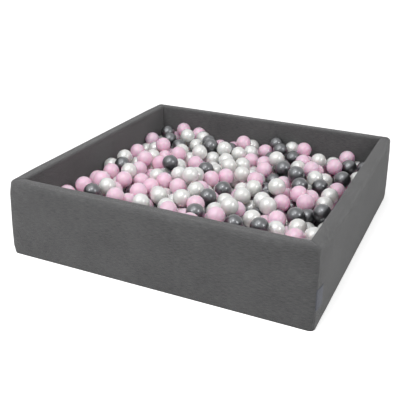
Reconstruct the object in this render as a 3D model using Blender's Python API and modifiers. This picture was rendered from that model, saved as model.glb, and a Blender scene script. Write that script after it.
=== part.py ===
"""Square foam ball pit: a padded wall ring in a zipped jersey cover, a drop-in floor mat and a heap of balls.

Metres, Z up. The origin is on the floor under the middle of the pit, and the front wall faces -Y.
"""

import math
import random

import bmesh
import bpy
import numpy as np
from mathutils import Matrix, Vector
from mathutils.geometry import delaunay_2d_cdt

# Pit, measured over its cover
PIT_LENGTH = 1.200
PIT_WIDTH = 1.200
WALL_HEIGHT = 0.300
FOAM_THICKNESS = 0.050
COVER_THICKNESS = 0.0012
BASE_THICKNESS = 0.0015
RIM_RADIUS = 0.016
CORNER_RADIUS = 0.020
INNER_CORNER_RADIUS = 0.004
FIT_GAP = 0.0003
RIM_STEPS = 3
CORNER_STEPS = 3

# Floor mat, measured over its own cover
MAT_THICKNESS = 0.050
MAT_CLEARANCE = 0.0006
MAT_EDGE_RADIUS = 0.010
MAT_CORNER_RADIUS = 0.014

# Balls
BALL_DIAMETER = 0.070
HEAP_DEPTH = 0.150
PACKING_SHARE = 0.55
LOOSE_COUNT = 24
HEAP_SEED = 1
DROP_COUNT = 4
DIRECTION_COUNT = 12
LIFT_CLEARANCE = 0.003
SETTLED_STEP = 0.00002
SEEN_SHARE = 0.50
CORE_DROP_SHARE = 0.35
SEAT_DROP_SHARE = 0.80
CORE_SIDE_STEPS = 8
BED_SEGMENTS = 8
BED_RING_COUNT = 4
BED_FACE_COUNT = 10500
JOINED_FACE_COUNT = 68
LOOSE_STEPS = 2

# Zip low on the back wall
ZIP_END_MARGIN = 0.150
ZIP_HEIGHT = 0.042
ZIP_OPENING = 0.020
ROW_WIDTH = 0.0028
ROW_THICKNESS = 0.0020
ROW_SPACING = 0.0012
TAPE_THICKNESS = 0.0006
TAPE_DEPTH = 0.0003
STOP_LENGTH = 0.0030
SLIDER_LENGTH = 0.0130
SLIDER_WIDTH = 0.0100
SLIDER_TAIL_SHARE = 0.78
SLIDER_PLATE = 0.0010
SLIDER_NECK = 0.0006
SLIDER_CLEARANCE = 0.0003
BRIDGE_RADIUS = 0.0023
BRIDGE_WIRE = 0.0011
PULL_LENGTH = 0.0280
PULL_WIDTH = 0.0070
PULL_THICKNESS = 0.0010
PULL_BAR = 0.0010
PULL_RAIL = 0.0018
PULL_EYE_LENGTH = 0.0036
PULL_CLEARANCE = 0.0005

# Bare woven tab in the seam of the front right corner
TAB_HEIGHT = 0.076
TAB_REACH = 0.052
TAB_THICKNESS = 0.0012
TAB_ABOVE_FLOOR = 0.078

# Levels and places that follow from the sizes above
COVER_BUILD = COVER_THICKNESS + FIT_GAP
WALL_THICKNESS = FOAM_THICKNESS + 2 * COVER_BUILD
HALF_LENGTH = PIT_LENGTH / 2
HALF_WIDTH = PIT_WIDTH / 2
WALL_BOTTOM = BASE_THICKNESS + FIT_GAP
FOAM_TOP = WALL_HEIGHT - COVER_BUILD
MAT_TOP = WALL_BOTTOM + MAT_THICKNESS
MAT_FOAM_BOTTOM = WALL_BOTTOM + COVER_BUILD
INSIDE_HALF_LENGTH = HALF_LENGTH - WALL_THICKNESS
INSIDE_HALF_WIDTH = HALF_WIDTH - WALL_THICKNESS
BALL_RADIUS = BALL_DIAMETER / 2
SPACING_RADIUS = BALL_RADIUS + FIT_GAP / 2
BALL_VOLUME = 4 / 3 * math.pi * BALL_RADIUS**3
HEAP_VOLUME = 4 * INSIDE_HALF_LENGTH * INSIDE_HALF_WIDTH * HEAP_DEPTH
BALL_COUNT = round(PACKING_SHARE * HEAP_VOLUME / BALL_VOLUME)
ZIP_LENGTH = PIT_LENGTH - 2 * ZIP_END_MARGIN
TAPE_MIDDLE = HALF_WIDTH - TAPE_DEPTH - TAPE_THICKNESS / 2
ROW_OFFSET = (ROW_SPACING + ROW_WIDTH) / 2
PLATE_OFFSET = ROW_THICKNESS / 2 + SLIDER_CLEARANCE + SLIDER_PLATE / 2
ROW_LENGTH = ZIP_LENGTH - 2 * (STOP_LENGTH + 2 * FIT_GAP)
SLIDER_REST = ROW_LENGTH / 2 - SLIDER_LENGTH / 2 - SLIDER_CLEARANCE
PIVOT_DEPTH = TAPE_MIDDLE + PLATE_OFFSET + SLIDER_PLATE / 2 + PULL_CLEARANCE + PULL_BAR / 2

# Name: base colour, roughness, metallic
FINISHES = {
    "jersey_grey": ((0.085, 0.085, 0.088), 0.95, 0.0),
    "mat_jersey_grey": ((0.070, 0.070, 0.073), 0.95, 0.0),
    "base_fabric_black": ((0.030, 0.030, 0.032), 0.90, 0.0),
    "foam_white": ((0.780, 0.760, 0.690), 0.95, 0.0),
    "zip_tape_grey": ((0.060, 0.060, 0.063), 0.90, 0.0),
    "zip_nylon_grey": ((0.090, 0.090, 0.094), 0.55, 0.0),
    "zip_metal": ((0.350, 0.350, 0.360), 0.35, 1.0),
    "tab_woven_navy": ((0.030, 0.040, 0.080), 0.85, 0.0),
    "ball_pink": ((0.820, 0.480, 0.620), 0.30, 0.0),
    "ball_pearl": ((0.800, 0.780, 0.740), 0.25, 0.0),
    "ball_graphite": ((0.120, 0.122, 0.128), 0.28, 0.6),
}
SEEN_RING_SHARES = ((0.45, 8), (0.85, 14))
BALL_FINISHES = ("ball_pink", "ball_pearl", "ball_graphite")
SIDES = ("front", "right", "back", "left")


def clear_scene():
    for obj in list(bpy.data.objects):
        bpy.data.objects.remove(obj, do_unlink=True)


def make_collection(name):
    collection = bpy.data.collections.new(name)
    bpy.context.scene.collection.children.link(collection)
    return collection


def make_material(name):
    color, roughness, metallic = FINISHES[name]
    material = bpy.data.materials.new(name)
    material.use_nodes = True
    shader = material.node_tree.nodes["Principled BSDF"]
    shader.inputs["Base Color"].default_value = (*color, 1.0)
    shader.inputs["Roughness"].default_value = roughness
    shader.inputs["Metallic"].default_value = metallic
    material.diffuse_color = (*color, 1.0)
    return material


clear_scene()
PIT = make_collection("ball_pit")
CUTTERS = make_collection("ball_pit_cutters")
MATERIALS = {name: make_material(name) for name in FINISHES}


def add_mesh_object(name, mesh, finish=None, smooth_angle=None):
    """Puts a mesh in the pit, or among the cutters when it has no finish."""
    obj = bpy.data.objects.new(name, mesh)
    if finish:
        PIT.objects.link(obj)
        mesh.materials.append(MATERIALS[finish])
    else:
        CUTTERS.objects.link(obj)
        obj.hide_render = True
        obj.display_type = "WIRE"
    if smooth_angle:
        mesh.shade_smooth()
        mesh.set_sharp_from_angle(angle=smooth_angle)
    return obj


def mesh_from_bmesh(name, bm):
    bmesh.ops.recalc_face_normals(bm, faces=bm.faces[:])
    mesh = bpy.data.meshes.new(name)
    bm.to_mesh(mesh)
    bm.free()
    return mesh


def add_solidify(obj, thickness):
    """Gives an open skin its thickness on the inner side."""
    skin = obj.modifiers.new("thickness", "SOLIDIFY")
    skin.thickness = thickness
    skin.offset = -1.0
    skin.use_even_offset = True


def add_boolean(obj, operation, other):
    join = obj.modifiers.new(other.name, "BOOLEAN")
    join.operation = operation
    join.solver = "EXACT"
    join.object = other


def make_box(name, center, size, finish=None, bevel=0.0, bevel_steps=2):
    bm = bmesh.new()
    bmesh.ops.create_cube(bm, size=1.0)
    bmesh.ops.scale(bm, vec=Vector(size), verts=bm.verts[:])
    if bevel:
        bmesh.ops.bevel(
            bm, geom=bm.edges[:], offset=bevel, segments=bevel_steps, affect="EDGES", profile=0.5
        )
    obj = add_mesh_object(name, mesh_from_bmesh(name, bm), finish, math.radians(40))
    obj.location = center
    return obj


# Foam walls and their cover


def wall_outline(half_run, half_depth, offset, mitre_gap):
    """Plan points of one wall at a depth below its outer face, from its left mitre to its right mitre.

    The wall faces -Y before it is turned to its side of the pit.
    """
    radius = max(CORNER_RADIUS - offset, INNER_CORNER_RADIUS)
    center_x = half_run - offset - radius
    center_y = -(half_depth - offset - radius)
    points = []
    for step in range(CORNER_STEPS + 1):
        angle = math.radians(45) * (1 - step / CORNER_STEPS)
        points.append((-center_x - radius * math.sin(angle), center_y - radius * math.cos(angle)))
    points += [(-x, y) for x, y in reversed(points)]
    points[0] = (points[0][0] + mitre_gap, points[0][1])
    points[-1] = (points[-1][0] - mitre_gap, points[-1][1])
    return points


def rim_section(inset, low, high):
    """Depths and heights of a wall's skin, up its outer face, over the rim and down its inner face."""
    radius = RIM_RADIUS - inset
    section = [(inset, low)]
    for step in range(RIM_STEPS + 1):
        angle = math.radians(90) * step / RIM_STEPS
        section.append((inset + radius * (1 - math.cos(angle)), high - radius * (1 - math.sin(angle))))
    section += [(WALL_THICKNESS - depth, height) for depth, height in reversed(section)]
    return section


def loft_wall(name, half_run, half_depth, section, finish):
    """Lofts a closed section along a wall, from mitre to mitre."""
    bm = bmesh.new()
    columns = []
    for depth, height in section:
        outline = wall_outline(half_run, half_depth, depth, FIT_GAP / 2)
        columns.append([bm.verts.new((x, y, height)) for x, y in outline])
    for low, high in zip(columns, columns[1:] + columns[:1]):
        for index in range(len(low) - 1):
            bm.faces.new((low[index], low[index + 1], high[index + 1], high[index]))
    bm.faces.new([column[0] for column in columns])
    bm.faces.new([column[-1] for column in reversed(columns)])
    return add_mesh_object(name, mesh_from_bmesh(name, bm), finish, math.radians(40))


def build_walls():
    """Four mitred foam slabs, each in a panel that runs up its outer face, over the rim and down inside."""
    foam_section = rim_section(COVER_BUILD, WALL_BOTTOM, FOAM_TOP)
    panel_section = rim_section(0, WALL_BOTTOM, WALL_HEIGHT)
    lining = rim_section(COVER_THICKNESS, WALL_BOTTOM, WALL_HEIGHT - COVER_THICKNESS)
    panel_section += reversed(lining)
    walls = {}
    for turn, side in enumerate(SIDES):
        along_x = turn % 2 == 0
        half_run = HALF_LENGTH if along_x else HALF_WIDTH
        half_depth = HALF_WIDTH if along_x else HALF_LENGTH
        foam = loft_wall(f"foam_wall_{side}", half_run, half_depth, foam_section, "foam_white")
        cover = loft_wall(f"cover_{side}", half_run, half_depth, panel_section, "jersey_grey")
        for obj in (foam, cover):
            obj.rotation_euler = (0, 0, turn * math.radians(90))
        walls[side] = (foam, cover)
    return walls


# Base sheet and floor mat


def rounded_ring(bm, half_x, half_y, radius, height):
    """Corner points of a rounded rectangle at one height, as vertices."""
    ring = []
    steps = 2 * CORNER_STEPS
    for turn, (side_x, side_y) in enumerate(((1, 1), (-1, 1), (-1, -1), (1, -1))):
        for step in range(steps + 1):
            angle = math.radians(90) * (turn + step / steps)
            x = side_x * (half_x - radius) + radius * math.cos(angle)
            y = side_y * (half_y - radius) + radius * math.sin(angle)
            ring.append(bm.verts.new((x, y, height)))
    return ring


def make_slab(name, half_x, half_y, corner_radius, levels, finish, open_below=False):
    """A flat rounded slab from a list of (inset, height) levels, lowest first."""
    bm = bmesh.new()
    rings = [
        rounded_ring(bm, half_x - inset, half_y - inset, corner_radius - inset, height)
        for inset, height in levels
    ]
    for low, high in zip(rings, rings[1:]):
        for index in range(len(low)):
            after = (index + 1) % len(low)
            bm.faces.new((low[index], low[after], high[after], high[index]))
    bm.faces.new(rings[-1])
    if not open_below:
        bm.faces.new(list(reversed(rings[0])))
    mesh = bpy.data.meshes.new(name)
    bm.to_mesh(mesh)
    bm.free()
    return add_mesh_object(name, mesh, finish, math.radians(40))


def edge_levels(inset, low, high, radius):
    """Levels of a slab whose upper edge is rounded."""
    levels = [(inset, low)]
    for step in range(RIM_STEPS + 1):
        angle = math.radians(90) * step / RIM_STEPS
        levels.append((inset + radius * (1 - math.cos(angle)), high - radius * (1 - math.sin(angle))))
    return levels


def build_base_and_mat():
    base_levels = [(0, 0), (0, BASE_THICKNESS)]
    make_slab("base_sheet", HALF_LENGTH, HALF_WIDTH, CORNER_RADIUS, base_levels, "base_fabric_black")
    half_x = INSIDE_HALF_LENGTH - MAT_CLEARANCE
    half_y = INSIDE_HALF_WIDTH - MAT_CLEARANCE
    under_levels = [(COVER_BUILD, WALL_BOTTOM), (COVER_BUILD, WALL_BOTTOM + COVER_THICKNESS)]
    make_slab("mat_cover_bottom", half_x, half_y, MAT_CORNER_RADIUS, under_levels, "base_fabric_black")
    foam_levels = edge_levels(
        COVER_BUILD, MAT_FOAM_BOTTOM, MAT_TOP - COVER_BUILD, MAT_EDGE_RADIUS - COVER_BUILD
    )
    make_slab("mat_foam", half_x, half_y, MAT_CORNER_RADIUS, foam_levels, "foam_white")
    top_levels = edge_levels(0, WALL_BOTTOM, MAT_TOP, MAT_EDGE_RADIUS)
    cover = make_slab(
        "mat_cover_top", half_x, half_y, MAT_CORNER_RADIUS, top_levels, "mat_jersey_grey", open_below=True
    )
    add_solidify(cover, COVER_THICKNESS)


# Heap of balls


def rest_heights(x, y, placed, floor):
    """Height at which a ball's centre comes to rest at each (x, y) on the balls already placed."""
    away_x = np.asarray(x)[:, None] - placed[None, :, 0]
    away_y = np.asarray(y)[:, None] - placed[None, :, 1]
    room = (2 * SPACING_RADIUS) ** 2 - away_x**2 - away_y**2
    touching = placed[None, :, 2] + np.sqrt(np.maximum(room, 0))
    heights = np.where(room > 0, touching, floor)
    return np.maximum(heights.max(axis=1, initial=floor), floor)


def drop_balls():
    """Drops the balls one by one. Each rolls downhill until it sits in a hollow of the heap."""
    draws = random.Random(HEAP_SEED)
    floor = MAT_TOP + FIT_GAP + BALL_RADIUS
    reach_x = INSIDE_HALF_LENGTH - FIT_GAP - BALL_RADIUS
    reach_y = INSIDE_HALF_WIDTH - FIT_GAP - BALL_RADIUS
    angles = np.arange(DIRECTION_COUNT) * 2 * math.pi / DIRECTION_COUNT
    placed = np.zeros((0, 3))
    for _ in range(BALL_COUNT):
        starts = [
            (draws.uniform(-reach_x, reach_x), draws.uniform(-reach_y, reach_y))
            for _ in range(DROP_COUNT)
        ]
        heights = rest_heights([p[0] for p in starts], [p[1] for p in starts], placed, floor)
        lowest = int(heights.argmin())
        x, y = starts[lowest]
        height = heights[lowest]
        step = BALL_RADIUS / 2
        while step > SETTLED_STEP:
            near = placed[np.hypot(placed[:, 0] - x, placed[:, 1] - y) < 2 * BALL_DIAMETER]
            tries_x = np.clip(x + step * np.cos(angles), -reach_x, reach_x)
            tries_y = np.clip(y + step * np.sin(angles), -reach_y, reach_y)
            heights = rest_heights(tries_x, tries_y, near, floor)
            lowest = int(heights.argmin())
            if heights[lowest] < height - SETTLED_STEP / 10:
                x, y, height = tries_x[lowest], tries_y[lowest], heights[lowest]
            else:
                step /= 2
        placed = np.vstack([placed, [x, y, height]])
    return placed


def seen_shares(centers):
    """Share of each ball's outline that nothing covers, seen from above."""
    spots = [(0, 0)]
    for ring, count in SEEN_RING_SHARES:
        spots += [
            (ring * math.cos(2 * math.pi * k / count), ring * math.sin(2 * math.pi * k / count))
            for k in range(count)
        ]
    seen = np.zeros(len(centers))
    for share_x, share_y in spots:
        x = centers[:, 0] + share_x * BALL_RADIUS
        y = centers[:, 1] + share_y * BALL_RADIUS
        own = centers[:, 2] + BALL_RADIUS * math.sqrt(1 - share_x**2 - share_y**2)
        room = BALL_RADIUS**2 - (x[:, None] - centers[None, :, 0]) ** 2
        room -= (y[:, None] - centers[None, :, 1]) ** 2
        tops = np.where(room > 0, centers[None, :, 2] + np.sqrt(np.maximum(room, 0)), -1.0)
        np.fill_diagonal(tops, -1.0)
        seen += tops.max(axis=1) < own
    return seen / len(spots)


def choose_loose(centers, surface):
    """The balls that stand proudest on the heap with nothing above them, spread over the pit."""
    plan = np.hypot(
        centers[:, None, 0] - centers[None, :, 0], centers[:, None, 1] - centers[None, :, 1]
    )
    above = (plan < 2 * BALL_RADIUS + LIFT_CLEARANCE) & (centers[None, :, 2] > centers[:, None, 2])
    free = [index for index in range(len(centers)) if not above[index].any()]
    free.sort(key=lambda index: surface[index] - centers[index, 2])
    chosen = []
    for index in free:
        if all(plan[index, other] > 2 * BALL_DIAMETER for other in chosen):
            chosen.append(index)
        if len(chosen) == LOOSE_COUNT:
            break
    return chosen


def surface_level(centers, seen, x, y):
    """Mean height of the centres of the seen balls around a spot."""
    tops = centers[seen >= SEEN_SHARE]
    weight = np.exp(-((tops[:, 0] - x) ** 2 + (tops[:, 1] - y) ** 2) / BALL_DIAMETER**2)
    return float((weight * tops[:, 2]).sum() / weight.sum())


def core_points(centers, bed, loose):
    """Points of the core's top: one under each ball of the surface, and more along the walls."""
    points = [(x, y, height - CORE_DROP_SHARE * BALL_RADIUS) for x, y, height in centers[bed]]
    points += [(x, y, height - SEAT_DROP_SHARE * BALL_RADIUS) for x, y, height in centers[loose]]
    half_x = INSIDE_HALF_LENGTH - FIT_GAP - INNER_CORNER_RADIUS / 2
    half_y = INSIDE_HALF_WIDTH - FIT_GAP - INNER_CORNER_RADIUS / 2
    tops = centers[bed]
    for step in range(CORE_SIDE_STEPS):
        share = 2 * step / CORE_SIDE_STEPS - 1
        for x, y in (
            (share * half_x, -half_y),
            (half_x, share * half_y),
            (-share * half_x, half_y),
            (-half_x, -share * half_y),
        ):
            nearest = np.hypot(tops[:, 0] - x, tops[:, 1] - y).argmin()
            points.append((x, y, tops[nearest, 2] - CORE_DROP_SHARE * BALL_RADIUS))
    return points


def make_core(centers, bed, loose):
    """Solid heart of the heap: it stands for the buried balls and runs on just under those that show."""
    points = core_points(centers, bed, loose)
    plan = [Vector(point[:2]) for point in points]
    triangulation = delaunay_2d_cdt(plan, [], [], 0, FIT_GAP / 100)
    faces, sources = triangulation[2], triangulation[3]
    bm = bmesh.new()
    top = [bm.verts.new(points[source[0]]) for source in sources]
    for face in faces:
        bm.faces.new([top[index] for index in face])
    sides = bmesh.ops.extrude_edge_only(bm, edges=[edge for edge in bm.edges if edge.is_boundary])
    for item in sides["geom"]:
        if isinstance(item, bmesh.types.BMVert):
            item.co.z = MAT_TOP + FIT_GAP
    bmesh.ops.holes_fill(bm, edges=[edge for edge in bm.edges if edge.is_boundary])
    return mesh_from_bmesh("ball_bed", bm)


def make_bed_balls(centers, bed):
    """The balls of the heap's surface as one mesh, each with its flats towards the walls."""
    bm = bmesh.new()
    turn = Matrix.Rotation(math.pi / BED_SEGMENTS, 4, "Z")
    for index in bed:
        bmesh.ops.create_uvsphere(
            bm,
            u_segments=BED_SEGMENTS,
            v_segments=BED_RING_COUNT,
            radius=BALL_RADIUS,
            matrix=Matrix.Translation(Vector(centers[index])) @ turn,
        )
    return add_mesh_object("bed_balls", mesh_from_bmesh("bed_balls", bm), smooth_angle=math.radians(80))


def add_loose_mesh(bm, radius, center):
    place = Matrix.Translation(Vector(center))
    bmesh.ops.create_icosphere(bm, subdivisions=LOOSE_STEPS, radius=radius, matrix=place)


def build_balls():
    centers = drop_balls()
    seen = seen_shares(centers)
    surface = [surface_level(centers, seen, x, y) for x, y, _ in centers]
    loose = choose_loose(centers, surface)
    bed = [index for index in range(len(centers)) if seen[index] >= SEEN_SHARE and index not in loose]
    ball_bed = add_mesh_object("ball_bed", make_core(centers, bed, loose), "ball_pearl", math.radians(30))
    add_boolean(ball_bed, "UNION", make_bed_balls(centers, bed))
    thinned = ball_bed.modifiers.new("thinned", "DECIMATE")
    thinned.ratio = min(BED_FACE_COUNT / (JOINED_FACE_COUNT * len(bed)), 1)
    seats = bmesh.new()
    for number, index in enumerate(loose, start=1):
        finish = BALL_FINISHES[number % len(BALL_FINISHES)]
        name = f"{finish}_{number:02d}"
        bm = bmesh.new()
        add_loose_mesh(bm, BALL_RADIUS, (0, 0, 0))
        ball = add_mesh_object(name, mesh_from_bmesh(name, bm), finish, math.radians(80))
        ball.location = centers[index]
        add_loose_mesh(seats, BALL_RADIUS + FIT_GAP, centers[index])
    seat_cutter = add_mesh_object("loose_seats", mesh_from_bmesh("loose_seats", seats))
    add_boolean(ball_bed, "DIFFERENCE", seat_cutter)


# Zip


def flat_outline(name, outlines, thickness):
    """A flat plate in X and Y, cut along closed outlines, as a mesh that is centred on Z = 0."""
    curve = bpy.data.curves.new(name, "CURVE")
    curve.dimensions = "2D"
    curve.fill_mode = "BOTH"
    curve.extrude = thickness / 2
    for outline in outlines:
        spline = curve.splines.new("POLY")
        spline.points.add(len(outline) - 1)
        for point, (x, y) in zip(spline.points, outline):
            point.co = (x, y, 0, 1)
        spline.use_cyclic_u = True
    return curve_to_mesh(name, curve)


def curve_to_mesh(name, curve):
    guide = bpy.data.objects.new(name, curve)
    CUTTERS.objects.link(guide)
    bpy.context.view_layer.update()
    evaluated = guide.evaluated_get(bpy.context.evaluated_depsgraph_get())
    mesh = bpy.data.meshes.new_from_object(evaluated)
    bpy.data.objects.remove(guide, do_unlink=True)
    bpy.data.curves.remove(curve)
    bm = bmesh.new()
    bm.from_mesh(mesh)
    bmesh.ops.remove_doubles(bm, verts=bm.verts[:], dist=FIT_GAP / 100)
    bmesh.ops.recalc_face_normals(bm, faces=bm.faces[:])
    bm.to_mesh(mesh)
    bm.free()
    return mesh


def rounded_rectangle(low_x, high_x, half_y, radius, steps=3):
    points = []
    corners = ((high_x, half_y, 0), (low_x, half_y, 90), (low_x, -half_y, 180), (high_x, -half_y, 270))
    for x, y, start in corners:
        center_x = x - math.copysign(radius, x - (low_x + high_x) / 2)
        center_y = y - math.copysign(radius, y)
        for step in range(steps + 1):
            angle = math.radians(start + 90 * step / steps)
            points.append((center_x + radius * math.cos(angle), center_y + radius * math.sin(angle)))
    return points


def build_zip(foam_back, cover_back):
    """Two taped rows in a slot of the back panel, with their end stops, slider and pull."""
    slot_depth = 2 * COVER_BUILD
    slot = make_box(
        "zip_slot",
        (0, HALF_WIDTH - COVER_BUILD / 2, ZIP_HEIGHT),
        (ZIP_LENGTH, slot_depth, ZIP_OPENING),
    )
    add_boolean(cover_back, "DIFFERENCE", slot)
    relief_bottom = TAPE_MIDDLE - PLATE_OFFSET - SLIDER_PLATE / 2 - FIT_GAP
    relief_top = HALF_WIDTH + COVER_BUILD
    relief = make_box(
        "slider_relief",
        (0, (relief_bottom + relief_top) / 2, ZIP_HEIGHT),
        (ZIP_LENGTH, relief_top - relief_bottom, SLIDER_WIDTH + 2 * SLIDER_CLEARANCE),
    )
    add_boolean(foam_back, "DIFFERENCE", relief)
    row_edge = ROW_OFFSET + ROW_WIDTH / 2 + FIT_GAP
    tape_width = ZIP_OPENING / 2 - FIT_GAP - row_edge
    for sign, word in ((1, "upper"), (-1, "lower")):
        make_box(
            f"zip_tape_{word}",
            (0, TAPE_MIDDLE, ZIP_HEIGHT + sign * (row_edge + tape_width / 2)),
            (ZIP_LENGTH - 2 * FIT_GAP, TAPE_THICKNESS, tape_width),
            "zip_tape_grey",
        )
        make_box(
            f"zip_teeth_{word}",
            (0, TAPE_MIDDLE, ZIP_HEIGHT + sign * ROW_OFFSET),
            (ROW_LENGTH, ROW_THICKNESS, ROW_WIDTH),
            "zip_nylon_grey",
            bevel=ROW_THICKNESS / 4,
            bevel_steps=1,
        )
    stop_x = ROW_LENGTH / 2 + FIT_GAP + STOP_LENGTH / 2
    for sign, word in ((1, "closed"), (-1, "open")):
        make_box(
            f"zip_stop_{word}",
            (sign * stop_x, TAPE_MIDDLE, ZIP_HEIGHT),
            (STOP_LENGTH, ROW_THICKNESS, 2 * ROW_WIDTH + ROW_SPACING),
            "zip_metal",
            bevel=ROW_THICKNESS / 5,
            bevel_steps=1,
        )
    build_slider()
    build_pull()


def build_slider():
    """Two shield-shaped plates joined by a neck that runs between the rows, with a wire bridge on top."""
    half_length = SLIDER_LENGTH / 2
    nose = SLIDER_WIDTH / 2
    tail = nose * SLIDER_TAIL_SHARE
    shield = [
        (half_length, nose * SLIDER_TAIL_SHARE),
        (half_length / 2, nose),
        (-half_length, tail),
        (-half_length, -tail),
        (half_length / 2, -nose),
        (half_length, -nose * SLIDER_TAIL_SHARE),
    ]
    on_face = Matrix.Rotation(math.radians(90), 4, "X")
    front_mesh = flat_outline("zip_slider", [shield], SLIDER_PLATE)
    front_mesh.transform(Matrix.Translation((0, PLATE_OFFSET, 0)) @ on_face)
    slider = add_mesh_object("zip_slider", front_mesh, "zip_metal", math.radians(40))
    rear_mesh = flat_outline("slider_rear", [shield], SLIDER_PLATE)
    rear_mesh.transform(Matrix.Translation((0, -PLATE_OFFSET, 0)) @ on_face)
    rear = add_mesh_object("slider_rear", rear_mesh)
    neck = make_box("slider_neck", (0, 0, 0), (half_length, 2 * PLATE_OFFSET, SLIDER_NECK))
    bridge = add_mesh_object("slider_bridge", make_bridge())
    for piece in (neck, rear, bridge):
        add_boolean(slider, "UNION", piece)
    for piece in (slider, rear, neck, bridge):
        piece.location = (SLIDER_REST, TAPE_MIDDLE, ZIP_HEIGHT)


def make_bridge():
    """A wire arch over the pull's bar, from plate to plate end, in the plane of X and Y."""
    pivot = PIVOT_DEPTH - TAPE_MIDDLE
    steps = 6
    path = [(BRIDGE_RADIUS, PLATE_OFFSET)]
    for step in range(steps + 1):
        angle = math.pi * step / steps
        path.append((BRIDGE_RADIUS * math.cos(angle), pivot + BRIDGE_RADIUS * math.sin(angle)))
    path.append((-BRIDGE_RADIUS, PLATE_OFFSET))
    curve = bpy.data.curves.new("slider_bridge", "CURVE")
    curve.dimensions = "3D"
    curve.bevel_depth = BRIDGE_WIRE / 2
    curve.bevel_resolution = 1
    curve.use_fill_caps = True
    spline = curve.splines.new("POLY")
    spline.points.add(len(path) - 1)
    for point, (x, y) in zip(spline.points, path):
        point.co = (x, y, 0, 1)
    return curve_to_mesh("slider_bridge", curve)


def build_pull():
    """A flat pull whose end bar sits under the bridge. It swings about that bar, which stands along Z."""
    half_bar = PULL_BAR / 2
    outline = rounded_rectangle(-PULL_LENGTH + half_bar, half_bar, PULL_WIDTH / 2, half_bar)
    eye = rounded_rectangle(
        -half_bar - PULL_EYE_LENGTH, -half_bar, PULL_WIDTH / 2 - PULL_RAIL, half_bar / 2
    )
    mesh = flat_outline("zip_pull", [outline, eye], PULL_THICKNESS)
    mesh.transform(Matrix.Rotation(math.radians(90), 4, "X"))
    pull = add_mesh_object("zip_pull", mesh, "zip_metal", math.radians(40))
    pivot = bpy.data.objects.new("pull_pivot", None)
    CUTTERS.objects.link(pivot)
    pivot.location = (SLIDER_REST, PIVOT_DEPTH, ZIP_HEIGHT)
    pull.parent = pivot


def build_tab():
    """A bare woven tab, caught in the seam of the front right corner and wrapped onto the right wall."""
    center_x = HALF_LENGTH - CORNER_RADIUS
    center_y = -(HALF_WIDTH - CORNER_RADIUS)
    straight = TAB_REACH - math.radians(45) * CORNER_RADIUS
    faces = []
    for radius in (CORNER_RADIUS + FIT_GAP, CORNER_RADIUS + FIT_GAP + TAB_THICKNESS):
        face = []
        for step in range(CORNER_STEPS + 1):
            angle = math.radians(45) * (1 - step / CORNER_STEPS)
            face.append((center_x + radius * math.cos(angle), center_y - radius * math.sin(angle)))
        face.append((center_x + radius, center_y + straight))
        faces.append(face)
    inner, outer = faces
    mesh = flat_outline("corner_tab", [inner + outer[::-1]], TAB_HEIGHT)
    tab = add_mesh_object("corner_tab", mesh, "tab_woven_navy", math.radians(40))
    tab.location = (0, 0, TAB_ABOVE_FLOOR + TAB_HEIGHT / 2)


walls = build_walls()
build_base_and_mat()
build_balls()
build_zip(*walls["back"])
build_tab()
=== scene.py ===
"""Looks of the ball pit: jersey cover over foam walls, floor mat, zip, woven tab and heap of balls."""

import random
from math import copysign, cos, exp, hypot, pi, radians, sin, sqrt

import bmesh
import bpy
import numpy as np
from mathutils import Matrix, Vector
from mathutils.bvhtree import BVHTree
from mathutils.noise import noise


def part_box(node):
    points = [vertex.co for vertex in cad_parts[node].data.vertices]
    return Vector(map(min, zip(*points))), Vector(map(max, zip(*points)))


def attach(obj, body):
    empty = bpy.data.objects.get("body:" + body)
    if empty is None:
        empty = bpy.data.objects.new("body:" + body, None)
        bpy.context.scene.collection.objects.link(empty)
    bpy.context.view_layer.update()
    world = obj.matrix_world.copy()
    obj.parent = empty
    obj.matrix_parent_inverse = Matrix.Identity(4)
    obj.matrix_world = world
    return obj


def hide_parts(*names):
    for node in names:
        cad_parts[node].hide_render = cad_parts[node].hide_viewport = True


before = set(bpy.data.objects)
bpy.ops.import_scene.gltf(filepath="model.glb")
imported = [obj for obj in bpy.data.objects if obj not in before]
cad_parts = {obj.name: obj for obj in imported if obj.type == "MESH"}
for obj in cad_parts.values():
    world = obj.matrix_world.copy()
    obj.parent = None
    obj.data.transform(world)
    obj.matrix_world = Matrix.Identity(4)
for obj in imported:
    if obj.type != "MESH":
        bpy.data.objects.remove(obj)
bpy.context.view_layer.update()

# Pit, in metres, as in the part
PIT_HALF = 0.600
WALL_HEIGHT = 0.300
WALL_BOTTOM = 0.0018
WALL_THICKNESS = 0.053
COVER_THICKNESS = 0.0012
RIM_RADIUS = 0.016
INNER_RIM_RADIUS = 0.007
SEAM_RADIUS = 0.011
INNER_CORNER_RADIUS = 0.004
HEM_RADIUS = 0.006
SEAM_GAP = 0.00015
FIT_GAP = 0.0003
SIDES = ("front", "right", "back", "left")
INSIDE_HALF = PIT_HALF - WALL_THICKNESS

# Cells of the wall panels' cloth: along the corners and the run, round hem and rim, and down the inside
ARC_STEPS = 6
RUN_STEPS = 112
HEM_STEPS = 3
RIM_STEPS = 6
INNER_STEPS = 22

# How far the panels swell, and where the balls' top holds them
SWELL_STEPS = 20
SWELL_CLOTH = {
    "quality": 5,
    "mass": 0.3,
    "tension_stiffness": 15,
    "compression_stiffness": 15,
    "shear_stiffness": 5,
    "bending_stiffness": 0.5,
    "use_pressure": True,
    "uniform_pressure_force": 4.0,
    "vertex_group_mass": "sewn",
}
OUTER_SWELL = 0.0022
INNER_SWELL = 0.0010
INNER_START = 0.0012
BALL_LEVEL = 0.215

# Corners of the cover: their lean towards the rim, their easing at rim and hem, and the drawn-in seam
CORNER_LEAN_LOW = 0.0012
CORNER_LEAN = 0.0045
LEAN_START = 0.060
LEAN_REACH = 0.075
RIM_EASE = 0.016
RIM_EASE_DROP = 0.060
HEM_EASE = 0.012
HEM_EASE_RISE = 0.038
CREASE_GUARD = 0.003
SEAM_DIP = 0.0015
SEAM_DIP_WIDTH = 0.0022

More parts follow.
